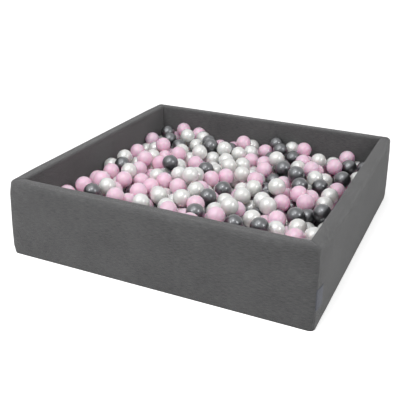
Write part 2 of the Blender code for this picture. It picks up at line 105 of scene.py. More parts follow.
# Puckers of the cover, with the waves a metre of each noise
PUCKER_DEPTH = 0.0005
PUCKER_REACH = 0.016
PUCKER_START = 0.004
HEM_PUCKER_REACH = 0.014
SEAM_FOLDS, SEAM_FOLD_STRETCH, SEAM_FOLD_SHARE = 46.0, (0.35, 0.35, 1.0), 1.6
HEM_FOLDS, HEM_FOLD_STRETCH = 30.0, (1.0, 1.0, 0.2)
SLOW_WAVES, SLOW_WAVE_SHARE = 5.0, 0.9

# Foam inside the walls
FOAM_INSET = 0.0036
FOAM_END_GAP = 0.002

# Base sheet and floor mat
BASE_TOP = 0.0015
BASE_INSET = 0.003
FLOOR_GAP = 0.0001
MAT_TOP = 0.0518
MAT_HALF = INSIDE_HALF - 0.0006
MAT_EDGE_RADIUS = 0.010
MAT_FOAM_GAP = 0.001
MAT_UNDER_THICKNESS = 0.0011
MAT_CELL = 0.014
MAT_FOAM_CELL = 0.05
RING_STEPS = 8
RING_SIDE_STEPS = 18
RING_SPACING = 0.03

# Heap of balls, dropped as in the part
BALL_RADIUS = 0.035
BALL_COUNT = 550
HEAP_SEED = 1
DROPS_PER_BALL = 4
ROLL_DIRECTIONS = 12
SPACING_RADIUS = BALL_RADIUS + FIT_GAP / 2
SETTLED_STEP = 0.00002
LOOSE_BALL_STEPS = 4
HEAP_BALL_STEPS = 3
COLOUR_SEED = 4785
FIRST_HEAP_SEED = 101
FINISH_SHARES = {"pink": 0.37, "pearl": 0.39, "graphite": 0.24}

# Zip low on the back wall
ZIP_HALF = 0.450
ZIP_HEIGHT = 0.042
ZIP_OPENING = 0.020
ZIP_LOW = ZIP_HEIGHT - ZIP_OPENING / 2
ZIP_HIGH = ZIP_HEIGHT + ZIP_OPENING / 2
TAPE_CELLS = 240
TOOTH_PITCH = 0.0020
TOOTH_RADIUS = 0.00058
TOOTH_HEAD_SHARE = 1.45
TOOTH_HEAD_INSET = 0.0006
COIL_INSET = 0.001

# Corner tab: a layer's thickness as a share of the tab's height, and the cells of its cloth
TAB_REACH = 0.052
TAB_LAYER_SHARE = 0.0075
TAB_CLOTH_SHARE = 0.85
TAB_STEPS = 20
TAB_FOLD_STEPS = 4
TAB_ROWS = 25

# Thread, and where the sewing runs
STITCH_LENGTH = 0.0032
STITCH_PITCH = 0.0042
THREAD_RADIUS = 0.00032
SEAM_SEWING_START = 0.010
SEAM_SEWING_DEPTH = 0.030
SEAM_SEWING_SIDE = 0.001
HEM_SEWING_RISE = 0.009
MAT_SEWING_RISE = 0.007
ZIP_SEWING_MARGIN = 0.003
ZIP_SEWING_SPOTS = 80
BASE_SEWING_INSET = 0.012

# Knit of the jersey
WALE_PITCH = 0.0013
COURSE_PITCH = 0.0011
SLUB_SHARE = 0.30

# Floor, which pales to the background's white from the near to the far distance
FLOOR_REACH = 30.0
FLOOR_DROP = 0.0002
FLOOR_NEAR = 1.2
FLOOR_FAR = 3.5
FLOOR_GLOW = 0.62
WORLD_LIGHT = 0.28

# Camera, matched to the photograph: its place, and its yaw, pitch and roll in degrees
CAMERA_PLACE = Vector((0.9869, -2.3366, 1.2356))
CAMERA_TURN = (-24.5658, 24.0772, 0.9693)
CAMERA_LENS = 59.16
SENSOR_WIDTH = 36

# Lamps: name, azimuth (0 is in front of the pit and 90 on its right), elevation, distance, size and power
LAMP_AIM = Vector((0, 0, 0.2))
LAMPS = (
    ("lamp_right", 75, 35, 5.0, 0.90, 42),
    ("lamp_left", -24, 36, 3.4, 0.52, 14),
    ("lamp_front", -30, 68, 3.6, 3.6, 58),
    ("lamp_spark", 8, 62, 4.0, 0.50, 24),
)


# Camera and lamps


def new_object(name, data):
    obj = bpy.data.objects.new(name, data)
    bpy.context.scene.collection.objects.link(obj)
    return obj


def make_camera():
    """The photograph's viewpoint, with the lens for a square frame."""
    yaw, pitch, roll = map(radians, CAMERA_TURN)
    ahead = Vector((sin(yaw) * cos(pitch), cos(yaw) * cos(pitch), -sin(pitch)))
    level = Vector((cos(yaw), -sin(yaw), 0))
    above = level.cross(ahead)
    right = cos(roll) * level + sin(roll) * above
    up = cos(roll) * above - sin(roll) * level
    lens = bpy.data.cameras.new("camera")
    lens.lens = CAMERA_LENS
    lens.sensor_width = SENSOR_WIDTH
    camera = new_object("camera", lens)
    turned = Matrix((right, up, -ahead)).transposed().to_4x4()
    camera.matrix_world = Matrix.Translation(CAMERA_PLACE) @ turned
    bpy.context.scene.camera = camera


def make_lamps():
    """Square lamps that look at the heap."""
    for name, azimuth, elevation, distance, size, power in LAMPS:
        a, e = radians(azimuth), radians(elevation)
        back = Vector((sin(a) * cos(e), -cos(a) * cos(e), sin(e)))
        data = bpy.data.lights.new(name, "AREA")
        data.shape = "SQUARE"
        data.size = size
        data.energy = power
        lamp = new_object(name, data)
        lamp.location = LAMP_AIM + back * distance
        lamp.rotation_mode = "QUATERNION"
        lamp.rotation_quaternion = back.to_track_quat("Z", "Y")


# Nodes


def set_input(tree, slot, value):
    """Links a node's output to an input, or sets a plain value."""
    if isinstance(value, bpy.types.NodeSocket):
        tree.links.new(value, slot)
    else:
        slot.default_value = value


def add_node(tree, kind, settings=None, **inputs):
    """A node with its settings and inputs. An input named in_0 is the node's first, and so on."""
    node = tree.nodes.new(kind)
    for key, value in (settings or {}).items():
        setattr(node, key, value)
    for key, value in inputs.items():
        slot = int(key[3:]) if key.startswith("in_") else key.replace("_", " ")
        set_input(tree, node.inputs[slot], value)
    return node


def made(tree, kind, settings=None, **inputs):
    """The first output of a new node."""
    return add_node(tree, kind, settings, **inputs).outputs[0]


def calc(tree, operation, *values):
    node = add_node(tree, "ShaderNodeMath", {"operation": operation})
    for slot, value in zip(node.inputs, values):
        set_input(tree, slot, value)
    return node.outputs[0]


def times(tree, *values):
    """The product of two values, plus the third where there is one."""
    return calc(tree, "MULTIPLY_ADD" if values[2:] else "MULTIPLY", *values)


def spread(tree, value, low, high, to_low=0.0, to_high=1.0):
    """Maps value from low..high to to_low..to_high, held at both ends."""
    settings = {"interpolation_type": "SMOOTHSTEP"}
    ends = {"From_Min": low, "From_Max": high, "To_Min": to_low, "To_Max": to_high}
    return add_node(tree, "ShaderNodeMapRange", settings, Value=value, **ends).outputs["Result"]


def vary(tree, tone, pattern, amount):
    """Lets a pattern raise and lower a tone by up to half the amount."""
    return times(tree, calc(tree, "SUBTRACT", pattern, 0.5), amount, tone)


def tint(tree, shader, tone, dark, light):
    """Colours the shader between two tones."""
    tones = {"in_6": (*dark, 1.0), "in_7": (*light, 1.0)}
    mix = add_node(tree, "ShaderNodeMix", {"data_type": "RGBA"}, in_0=tone, **tones)
    tree.links.new(mix.outputs[2], shader.inputs["Base Color"])


def make_finish(name, **values):
    """A material whose constants sit on the shader's own sockets."""
    material = bpy.data.materials.new(name)
    material.use_nodes = True
    tree = material.node_tree
    shader = next(n for n in tree.nodes if n.type == "BSDF_PRINCIPLED")
    for key, value in values.items():
        shader.inputs[key.replace("_", " ")].default_value = value
    return material, tree, shader


def cloth_places(tree):
    """Places on the cloth in metres: along the run and across it."""
    places = made(tree, "ShaderNodeUVMap", {"uv_map": "cloth"})
    parts = add_node(tree, "ShaderNodeSeparateXYZ", Vector=places)
    return parts.outputs[0], parts.outputs[1]


def cloth_noise(tree, places, scale_along, scale_across, detail=2.0, offset=0.0):
    """Noise whose cells are 1/scale_along by 1/scale_across metres."""
    x = times(tree, places[0], scale_along)
    y = times(tree, places[1], scale_across, offset)
    place = made(tree, "ShaderNodeCombineXYZ", X=x, Y=y)
    settings = {"noise_dimensions": "2D"}
    return made(tree, "ShaderNodeTexNoise", settings, Vector=place, Scale=1.0, Detail=detail)


def object_places(tree):
    return add_node(tree, "ShaderNodeTexCoord").outputs["Object"]


def noise_on(tree, place, scale, detail):
    return made(tree, "ShaderNodeTexNoise", Vector=place, Scale=scale, Detail=detail)


def add_bump(tree, shader, height, distance, strength=1.0):
    bump = add_node(tree, "ShaderNodeBump", Height=height, Distance=distance, Strength=strength)
    tree.links.new(bump.outputs[0], shader.inputs["Normal"])


# Finishes


def knit_finish(name, dark, light):
    """Melange single jersey: columns of small V stitches, with short slubs along the courses."""
    material, tree, shader = make_finish(
        name, Roughness=0.92, Sheen_Weight=0.45, Sheen_Roughness=0.40, Specular_IOR_Level=0.18
    )
    places = along, across = cloth_places(tree)
    wale = calc(tree, "FRACT", times(tree, along, 1 / WALE_PITCH))
    lean = calc(tree, "ABSOLUTE", calc(tree, "SUBTRACT", wale, 0.5))
    course = calc(tree, "ADD", times(tree, across, 1 / COURSE_PITCH), lean)
    wave = calc(tree, "SINE", times(tree, course, 2 * pi))
    loops = times(tree, wave, 0.5, 0.5)
    stitch = times(tree, loops, spread(tree, lean, 0.36, 0.50, 1.0, 0.0))
    long_slub = cloth_noise(tree, places, 40, 460)
    short_slub = cloth_noise(tree, places, 90, 1100, 3.0, 31.0)
    fibre = cloth_noise(tree, places, 1500, 2100, 2.0, 7.0)
    cloud = cloth_noise(tree, places, 7, 9, 2.0, 3.0)
    tone = times(tree, spread(tree, long_slub, 0.30, 0.70), SLUB_SHARE, 0.5 - SLUB_SHARE / 2)
    for pattern, amount in ((short_slub, 0.70), (fibre, 0.60), (cloud, 0.35)):
        tone = vary(tree, tone, pattern, amount)
    # The stitch relief scales the yarn's own slub and fibre tone: painted shade in the grooves between the
    # loops, and a slight painted highlight on their crowns.
    tone = times(tree, tone, spread(tree, stitch, 0.0, 0.6, 0.80, 1.06))
    tint(tree, shader, tone, dark, light)
    height = times(tree, fibre, 0.35, stitch)
    height = times(tree, long_slub, 0.9, height)
    add_bump(tree, shader, height, 0.00030, 0.8)
    return material


def weave_finish(name, dark, light, pitch, roughness=0.85, twill=False):
    """Woven cloth: warp and weft cross over each other, or step sideways in a twill."""
    material, tree, shader = make_finish(name, Roughness=roughness, Sheen_Weight=0.15)
    places = along, across = cloth_places(tree)
    warp = times(tree, along, pi / pitch)
    weft = times(tree, across, pi / pitch)
    if twill:
        rib = calc(tree, "SINE", calc(tree, "ADD", warp, weft))
    else:
        rib = times(tree, calc(tree, "SINE", warp), calc(tree, "SINE", weft))
    rib = calc(tree, "ABSOLUTE", rib)
    fibre = cloth_noise(tree, places, 2400, 900, 2.0, 5.0)
    cloud = cloth_noise(tree, places, 12, 12, 3.0, 2.0)
    # The yarns' own fibre tone, darker where the rib falls to zero between the yarns: painted shade of the
    # weave's relief.
    tone = times(tree, fibre, 0.5, times(tree, rib, 0.5))
    tint(tree, shader, vary(tree, tone, cloud, 0.5), dark, light)
    add_bump(tree, shader, times(tree, fibre, 0.3, rib), pitch * 0.35, 0.8)
    return material


def foam_finish():
    """Cut open-cell foam: pale, slightly yellowed, with fine pores."""
    material, tree, shader = make_finish("wall_foam", Roughness=0.95)
    place = object_places(tree)
    pores = add_node(tree, "ShaderNodeTexVoronoi", Vector=place, Scale=780.0).outputs["Distance"]
    cloud = noise_on(tree, place, 14.0, 3.0)
    # The foam's own slow tone, darker in the pits of the pores: painted shade of the cells.
    tone = times(tree, cloud, 0.6, times(tree, pores, 0.5))
    tint(tree, shader, tone, (0.62, 0.58, 0.47), (0.86, 0.84, 0.76))
    add_bump(tree, shader, pores, 0.0006, 0.7)
    return material


def thread_finish():
    """Twisted polyester thread."""
    material, tree, shader = make_finish("grey_thread", Roughness=0.55, Sheen_Weight=0.2)
    fibre = noise_on(tree, object_places(tree), 2600.0, 2.0)
    tint(tree, shader, fibre, (0.057, 0.057, 0.0582), (0.095, 0.095, 0.097))
    add_bump(tree, shader, fibre, 0.0001, 0.6)
    return material


def nylon_finish():
    """Moulded nylon of the zip's teeth."""
    material, tree, shader = make_finish("zip_nylon", Roughness=0.42)
    cloud = noise_on(tree, object_places(tree), 320.0, 3.0)
    tint(tree, shader, cloud, (0.045, 0.045, 0.048), (0.085, 0.085, 0.090))
    tree.links.new(spread(tree, cloud, 0.3, 0.7, 0.34, 0.52), shader.inputs["Roughness"])
    add_bump(tree, shader, cloud, 0.00008, 0.5)
    return material


def metal_finish():
    """Nickel-dark die-cast zip metal, rubbed brighter by handling."""
    material, tree, shader = make_finish("zip_diecast", Metallic=1.0)
    place = object_places(tree)
    rub = noise_on(tree, place, 420.0, 4.0)
    scratch = noise_on(tree, place, 2400.0, 2.0)
    tint(tree, shader, spread(tree, rub, 0.30, 0.75), (0.29, 0.29, 0.30), (0.38, 0.38, 0.39))
    tree.links.new(spread(tree, rub, 0.3, 0.7, 0.24, 0.42), shader.inputs["Roughness"])
    add_bump(tree, shader, scratch, 0.00004, 0.5)
    return material


# Each finish of ball: its two tones and its shader. The pink and pearl shells let light through.
SHELL = {"Subsurface_Weight": 1.0, "Subsurface_Scale": 0.050}
BALL_TONES = {
    "pink": ((0.910, 0.570, 0.695), (0.950, 0.650, 0.765)),
    "pearl": ((0.670, 0.676, 0.648), (0.830, 0.840, 0.825)),
    "graphite": ((0.094, 0.097, 0.103), (0.150, 0.153, 0.161)),
}
BALL_SHADERS = {
    "pink": dict(
        SHELL, Roughness=0.38, Subsurface_Radius=(1.0, 0.60, 0.80), Coat_Weight=0.60, Coat_Roughness=0.18
    ),
    "pearl": dict(
        SHELL,
        Roughness=0.32,
        Metallic=0.12,
        Subsurface_Radius=(1.0, 0.95, 0.90),
        Coat_Weight=1.0,
        Coat_Roughness=0.17,
        Coat_IOR=1.60,
    ),
    "graphite": dict(Roughness=0.36, Metallic=0.95, Coat_Weight=0.90, Coat_Roughness=0.17, Coat_IOR=1.45),
}


def ball_finish(word):
    """Blow-moulded ball: pearl pigment in slow swirls, a thin mould line and a gate mark at one pole."""
    material, tree, shader = make_finish(f"ball_{word}_plastic", **BALL_SHADERS[word])
    place = add_node(tree, "ShaderNodeAttribute", {"attribute_name": "ball_place"}).outputs["Vector"]
    ball_tone = add_node(tree, "ShaderNodeAttribute", {"attribute_name": "ball_tone"}).outputs["Fac"]
    turn = times(tree, ball_tone, 20.0)
    settings = {"noise_dimensions": "4D"}
    swirl = made(tree, "ShaderNodeTexNoise", settings, Vector=place, W=turn, Scale=1.7, Detail=3.0)
    tone = times(tree, ball_tone, 0.45, times(tree, swirl, 0.55))
    tint(tree, shader, tone, *BALL_TONES[word])
    parts = add_node(tree, "ShaderNodeSeparateXYZ", Vector=place).outputs
    mould_line = spread(tree, calc(tree, "ABSOLUTE", parts[2]), 0.004, 0.018, 1.0, 0.0)
    gate = spread(tree, parts[0], 0.9935, 0.9965)
    fine = times(tree, noise_on(tree, place, 34.0, 2.0), 0.10)
    add_bump(tree, shader, calc(tree, "ADD", calc(tree, "MAXIMUM", mould_line, gate), fine), 0.00035, 0.8)
    return material


FINISHES = {
    "jersey": knit_finish("pit_jersey", (0.060, 0.060, 0.061), (0.200, 0.200, 0.202)),
    "mat_jersey": knit_finish("mat_jersey_knit", (0.050, 0.050, 0.052), (0.110, 0.110, 0.113)),
    "base_fabric": weave_finish("base_cloth", (0.018, 0.018, 0.019), (0.050, 0.050, 0.052), 0.0011),
    "zip_tape": weave_finish(
        "zip_tape_cloth", (0.035, 0.035, 0.037), (0.090, 0.090, 0.094), 0.0009, roughness=0.8, twill=True
    ),
    "tab": weave_finish("tab_ribbon", (0.060, 0.066, 0.086), (0.135, 0.144, 0.176), 0.0006, roughness=0.7),
    "foam": foam_finish(),
    "thread": thread_finish(),
    "nylon": nylon_finish(),
    "metal": metal_finish(),
    **{word: ball_finish(word) for word in BALL_TONES},
}


# Meshes


def link_piece(name, mesh, finish=None, smooth=True):
    obj = new_object(name, mesh)
    if finish:
        mesh.materials.clear()
        mesh.materials.append(FINISHES[finish])
    if smooth:
        mesh.shade_smooth()
    return obj


def keep_result(obj):
    """Makes the evaluated shape the object's own mesh, and takes its modifiers off."""
    graph = bpy.context.evaluated_depsgraph_get()
    shape = obj.evaluated_get(graph)
    mesh = bpy.data.meshes.new_from_object(shape, preserve_all_data_layers=True, depsgraph=graph)
    obj.modifiers.clear()
    obj.data = mesh
    return obj


def thicken(obj, thickness, offset=-1):
    """Gives a skin its thickness, below it unless the offset says otherwise."""
    solid = obj.modifiers.new("cloth_thickness", "SOLIDIFY")
    solid.thickness = thickness
    solid.offset = offset
    solid.use_rim = True
    return keep_result(obj)


def read_points(mesh, attribute="co"):
    points = np.zeros(len(mesh.vertices) * 3)
    mesh.vertices.foreach_get(attribute, points)
    return points.reshape(-1, 3)


def write_points(mesh, points):
    mesh.vertices.foreach_set("co", np.asarray(points, float).ravel())
    mesh.update()


def set_cloth_map(mesh, places):
    """Gives a mesh the cloth's own map in metres, from one (along, across) place for each vertex."""
    layer = mesh.uv_layers.new(name="cloth")
    corners = np.zeros(len(mesh.loops), int)
    mesh.loops.foreach_get("vertex_index", corners)
    layer.uv.foreach_set("vector", np.asarray(places, float)[corners].ravel())


def noise_field(points, scale, seed):
    shift = Vector((13.1 * seed, 7.7 * seed, 3.3 * seed))
    return np.array([noise(Vector(p) * scale + shift) for p in points])


def finish_piece(obj, body, slot, *nodes):
    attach(obj, body)
    if nodes:
        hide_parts(*nodes)
    return obj


# Geometry Nodes for what repeats


def start_tree(name, sizes, counts=()):
    """An empty tree with its named inputs, and those inputs."""
    tree = bpy.data.node_groups.new(name, "GeometryNodeTree")
    inputs = [("Geometry", "Geometry"), *((label, "Float") for label in sizes)]
    inputs += [*((label, "Int") for label in counts), ("Finish", "Material")]
    for label, kind in inputs:
        tree.interface.new_socket(label, in_out="INPUT", socket_type=f"NodeSocket{kind}")
    tree.interface.new_socket("Geometry", in_out="OUTPUT", socket_type="NodeSocketGeometry")
    return tree, tree.nodes.new("NodeGroupInput").outputs


def end_tree(tree, given, instances):
    """Makes the instances real and gives them their finish."""
    real = made(tree, "GeometryNodeRealizeInstances", Geometry=instances)
    finished = made(tree, "GeometryNodeSetMaterial", Geometry=real, Material=given["Finish"])
    add_node(tree, "NodeGroupOutput", in_0=finished)
    return tree


def smoothed(tree, geometry):
    return made(tree, "GeometryNodeSetShadeSmooth", Geometry=geometry)


def keep_value(tree, geometry, name, value, data_type, domain):
    """Stores a value on the geometry under a name."""
    settings = {"data_type": data_type, "domain": domain}
    inputs = {"Geometry": geometry, "Name": name, "Value": value}
    return made(tree, "GeometryNodeStoreNamedAttribute", settings, **inputs)


def spaced_along(tree, given):
    """Points one pitch apart along the lines that the tree is given."""
    line = made(tree, "GeometryNodeMeshToCurve", Mesh=given["Geometry"])
    settings = {"mode": "LENGTH"}
    return made(tree, "GeometryNodeResampleCurve", settings, Curve=line, Length=given["Pitch"])


def on_points(tree, points, shape, **inputs):
    """A copy of the shape on each point."""
    return made(tree, "GeometryNodeInstanceOnPoints", Points=points, Instance=shape, **inputs)


def ball_tree():
    """A smooth ball on each point, turned at random, that carries its own places and tone."""
    tree, given = start_tree("settled_balls", ["Ball radius"], ["Ball steps", "Seed"])
    size = {"Radius": given["Ball radius"], "Subdivisions": given["Ball steps"]}
    ball = made(tree, "GeometryNodeMeshIcoSphere", **size)
    place = made(tree, "GeometryNodeInputPosition")
    unit = made(tree, "ShaderNodeVectorMath", {"operation": "NORMALIZE"}, in_0=place)
    ball = smoothed(tree, keep_value(tree, ball, "ball_place", unit, "FLOAT_VECTOR", "POINT"))
    turn = add_node(tree, "FunctionNodeRandomValue", {"data_type": "FLOAT_VECTOR"}, Seed=given["Seed"])
    turn.inputs[1].default_value = (2 * pi,) * 3
    turned = add_node(tree, "FunctionNodeEulerToRotation", Euler=turn.outputs[0]).outputs[0]
    balls = on_points(tree, given["Geometry"], ball, Rotation=turned)
    tone = add_node(tree, "FunctionNodeRandomValue", {"data_type": "FLOAT"}, Seed=given["Seed"]).outputs[1]
    return end_tree(tree, given, keep_value(tree, balls, "ball_tone", tone, "FLOAT", "INSTANCE"))


def stitch_tree():
    """Thread stitches laid end to end along lines."""
    tree, given = start_tree("thread_stitches", ["Pitch", "Stitch length", "Thread radius"])
    thread = made(tree, "GeometryNodeMeshUVSphere", Segments=6, Rings=4, Radius=1.0)
    radius = given["Thread radius"]
    half = times(tree, given["Stitch length"], 0.5)
    size = made(tree, "ShaderNodeCombineXYZ", X=radius, Y=radius, Z=half)
    tangent = made(tree, "GeometryNodeInputTangent")
    aligned = made(tree, "FunctionNodeAlignRotationToVector", {"axis": "Z"}, Vector=tangent)
    points = spaced_along(tree, given)
    stitches = on_points(tree, points, smoothed(tree, thread), Rotation=aligned, Scale=size)
    return end_tree(tree, given, stitches)


def tooth_tree():
    """Nylon coil turns along a line: a rod across the tape with a round head towards the other row."""
    tree, given = start_tree("coil_teeth", ["Pitch", "Rod radius", "Rod length", "Head side"])
    radius, length = given["Rod radius"], given["Rod length"]
    rod = made(tree, "GeometryNodeMeshCylinder", Vertices=8, Radius=radius, Depth=length)
    head_radius = times(tree, radius, TOOTH_HEAD_SHARE)
    head = made(tree, "GeometryNodeMeshUVSphere", Segments=8, Rings=5, Radius=head_radius)
    reach = times(tree, length, 0.5, -TOOTH_HEAD_INSET)
    rise = times(tree, reach, given["Head side"])
    offset = made(tree, "ShaderNodeCombineXYZ", Z=rise)
    placed = made(tree, "GeometryNodeTransform", Geometry=head, Translation=offset)
    both = add_node(tree, "GeometryNodeJoinGeometry", Geometry=rod)
    tree.links.new(placed, both.inputs[0])
    tooth = smoothed(tree, both.outputs[0])
    return end_tree(tree, given, on_points(tree, spaced_along(tree, given), tooth))


TREES = {"balls": ball_tree(), "stitches": stitch_tree(), "teeth": tooth_tree()}


def grow(name, tree_name, mesh, finish, **values):
    """Runs a tree on a mesh of points or lines, and keeps the result as a plain mesh."""
    obj = link_piece(name, mesh, smooth=False)
    tree = TREES[tree_name]
    repeat = obj.modifiers.new("repeat", "NODES")
    repeat.node_group = tree
    sockets = {item.name: item.identifier for item in tree.interface.items_tree if item.in_out == "INPUT"}
    for key, value in values.items():
        repeat[sockets[key.replace("_", " ")]] = value
    repeat[sockets["Finish"]] = FINISHES[finish]
    return keep_result(obj)


def new_mesh(name, points, faces=(), edges=()):
    mesh = bpy.data.meshes.new(name)
    mesh.from_pydata(points, edges, faces)
    return mesh


def line_mesh(lines):
    """Open polylines as one mesh of edges."""
    points, edges = [], []
    for line in lines:
        start = len(points)
        points += [tuple(p) for p in line]
        edges += [(start + k, start + k + 1) for k in range(len(line) - 1)]
    return new_mesh("guide_lines", points, edges=edges)


def sew(name, lines, body, slot):
    """Stitches along lines, on a body."""
    sizes = {"Pitch": STITCH_PITCH, "Stitch_length": STITCH_LENGTH, "Thread_radius": THREAD_RADIUS}
    return finish_piece(grow(name, "stitches", line_mesh(lines), "thread", **sizes), body, slot)


# Wall panels and foam


def wall_stations():
    """Places along a wall: the share of the straight run, and the angle left on the corner arcs."""
    shares = np.linspace(-1, 1, RUN_STEPS + 1)
    zip_share = ZIP_HALF / (PIT_HALF - SEAM_RADIUS)
    for mark in (-zip_share, zip_share):
        shares[np.abs(shares - mark).argmin()] = mark
    arc = [radians(45) * (1 - k / ARC_STEPS) for k in range(ARC_STEPS)]
    return [(-1, a) for a in arc] + [(s, 0.0) for s in shares] + [(1, a) for a in reversed(arc)]


STATIONS = wall_stations()


def ease(share):
    """A smooth step from 0 to 1."""
    share = max(0.0, min(1.0, share))
    return share * share * (3 - 2 * share)


def wall_point(station, depth, height=0.0):
    """Plan point of a wall that faces -Y, at a depth below its outer face.

    The corners round off at rim and hem, and lean inwards towards the rim.
    """
    share, angle = station
    rim = RIM_EASE * ease((height - WALL_HEIGHT + RIM_EASE_DROP) / RIM_EASE_DROP)
    hem = HEM_EASE * ease((HEM_EASE_RISE - height) / HEM_EASE_RISE)
    radius = max(SEAM_RADIUS + rim + hem - depth, INNER_CORNER_RADIUS)
    center = PIT_HALF - depth - radius
    from_corner = (1 - abs(share)) * center
    lean = CORNER_LEAN_LOW + CORNER_LEAN * ease((height - LEAN_START) / (WALL_HEIGHT - LEAN_START))
    center -= lean * max(0.0, 1 - depth / WALL_THICKNESS) * exp(-((from_corner / LEAN_REACH) ** 2))
    x = share * center + copysign(radius * sin(angle), share)
    return x, -center - radius * cos(angle)


def quarter(k, steps):
    """The angle after k steps of a quarter turn."""
    return radians(90) * k / steps


def skin_section():
    """Depth and height of the cover's skin, from its outer hem over the rim to its inner hem."""
    section = []
    for k in range(HEM_STEPS):
        angle = quarter(k, HEM_STEPS)
        depth = HEM_RADIUS * (1 - sin(angle)) * 0.7
        section.append((depth, WALL_BOTTOM + HEM_RADIUS * (1 - cos(angle))))
    straight = WALL_HEIGHT - RIM_RADIUS
    marks = [(WALL_BOTTOM + HEM_RADIUS, ZIP_LOW, 3), (ZIP_LOW, ZIP_HIGH, 2), (ZIP_HIGH, straight, 23)]
    for low, high, steps in marks:
        section += [(0.0, low + (high - low) * k / steps) for k in range(steps)]
    section.append((0.0, straight - CREASE_GUARD))
    for k in range(RIM_STEPS):
        angle = quarter(k, RIM_STEPS)
        section.append((RIM_RADIUS * (1 - cos(angle)), straight + RIM_RADIUS * sin(angle)))
    flat = WALL_THICKNESS - RIM_RADIUS - INNER_RIM_RADIUS
    section += [(RIM_RADIUS + flat * k / 3, WALL_HEIGHT) for k in range(3)]
    straight = WALL_HEIGHT - INNER_RIM_RADIUS
    for k in range(RIM_STEPS + 1):
        angle = quarter(k, RIM_STEPS)
        depth = WALL_THICKNESS - INNER_RIM_RADIUS * (1 - sin(angle))
        section.append((depth, straight + INNER_RIM_RADIUS * cos(angle)))
    section.append((WALL_THICKNESS, straight - CREASE_GUARD))
    for k in range(1, INNER_STEPS + 1):
        section.append((WALL_THICKNESS, straight - (straight - WALL_BOTTOM) * k / INNER_STEPS))
    return section


SECTION = skin_section()


def grid_faces(rows, columns, round_rows=False, round_columns=False, holes=()):
    """Faces of a grid of points, joined round where asked, with the cells of holes left out."""
    faces = []
    for r in range(rows - 1 + round_rows):
        for c in range(columns - 1 + round_columns):
            if (r, c) not in holes:
                here, there, after = r * columns, (r + 1) % rows * columns, (c + 1) % columns
                faces.append((here + c, here + after, there + after, there + c))
    return faces


def grid_mesh(name, rows, holes=()):
    """A sheet from rows of points."""
    return new_mesh(name, [p for row in rows for p in row], grid_faces(len(rows), len(rows[0]), holes=holes))


def swell(obj, limits):
    """Blows the skin out over its foam with a cloth simulation.

    No point goes further than its limit, and those with a limit of 0 are pinned.
    """
    rest = read_points(obj.data)
    pins = obj.vertex_groups.new(name="sewn")
    pins.add(np.flatnonzero(limits == 0).tolist(), 1.0, "REPLACE")
    cloth = obj.modifiers.new("cloth", "CLOTH")
    for key, value in SWELL_CLOTH.items():
        setattr(cloth.settings, key, value)
    cloth.settings.effector_weights.gravity = 0
    cloth.collision_settings.use_collision = False
    cloth.point_cache.frame_start = 1
    cloth.point_cache.frame_end = SWELL_STEPS
    scene = bpy.context.scene
    for number in range(1, SWELL_STEPS + 1):
        scene.frame_set(number)
    graph = bpy.context.evaluated_depsgraph_get()
    shift = read_points(obj.evaluated_get(graph).data) - rest
    obj.modifiers.remove(cloth)
    scene.frame_set(1)
    size = np.linalg.norm(shift, axis=1, keepdims=True)
    limit = np.maximum(limits, 1e-9)[:, None]
    write_points(obj.data, rest + shift / np.maximum(size, 1e-12) * limit * np.tanh(size / limit))


def dress_skin(mesh, seed):
    """Draws the corner seams in, and lets the cloth pucker beside them and along the hem.

    The points are those of the wall that faces -Y, and away is their distance from the nearer mitre.
    """
    points, normals = read_points(mesh), read_points(mesh, "normal")
    away = np.maximum((-points[:, 1] - np.abs(points[:, 0])) / sqrt(2), 0)
    outside = (points[:, 1] < -PIT_HALF + WALL_THICKNESS / 2) | (points[:, 2] > WALL_HEIGHT - RIM_RADIUS)
    dip = SEAM_DIP * np.exp(-((away / SEAM_DIP_WIDTH) ** 2)) * outside
    near_seam = np.exp(-away / PUCKER_REACH) * (1 - np.exp(-((away / PUCKER_START) ** 2)))
    near_hem = np.exp(-points[:, 2] / HEM_PUCKER_REACH) * outside
    seam_folds = noise_field(points * SEAM_FOLD_STRETCH, SEAM_FOLDS, seed) * near_seam * SEAM_FOLD_SHARE
    hem_folds = noise_field(points * HEM_FOLD_STRETCH, HEM_FOLDS, seed + 9) * near_hem
    slow_waves = noise_field(points, SLOW_WAVES, seed + 4) * SLOW_WAVE_SHARE
    move = PUCKER_DEPTH * (seam_folds + hem_folds + slow_waves) * outside - dip
    write_points(mesh, points + normals * move[:, None])


def side_turn(side):
    """Turns the wall that faces -Y to its own side."""
    return Matrix.Rotation(radians(90) * SIDES.index(side), 4, "Z")


def zip_cells(rows):
    """Cells of the back panel that the zip's opening leaves out."""
    cells = set()
    for r, (depth, height) in enumerate(SECTION[:-1]):
        for c in range(len(rows[r]) - 1):
            middle_x = (rows[r][c][0] + rows[r][c + 1][0]) / 2
            middle_z = (height + SECTION[r + 1][1]) / 2
            if depth == 0 and abs(middle_x) < ZIP_HALF and ZIP_LOW < middle_z < ZIP_HIGH:
                cells.add((r, c))
    return cells


def drop_loose_points(mesh):
    """Deletes the points that belong to no face, and tells which ones stay."""
    bm = bmesh.new()
    bm.from_mesh(mesh)
    loose = [v for v in bm.verts if not v.link_faces]
    kept = [v.index for v in bm.verts if v.link_faces]
    bmesh.ops.delete(bm, geom=loose, context="VERTS")
    bm.to_mesh(mesh)
    bm.free()
    return kept


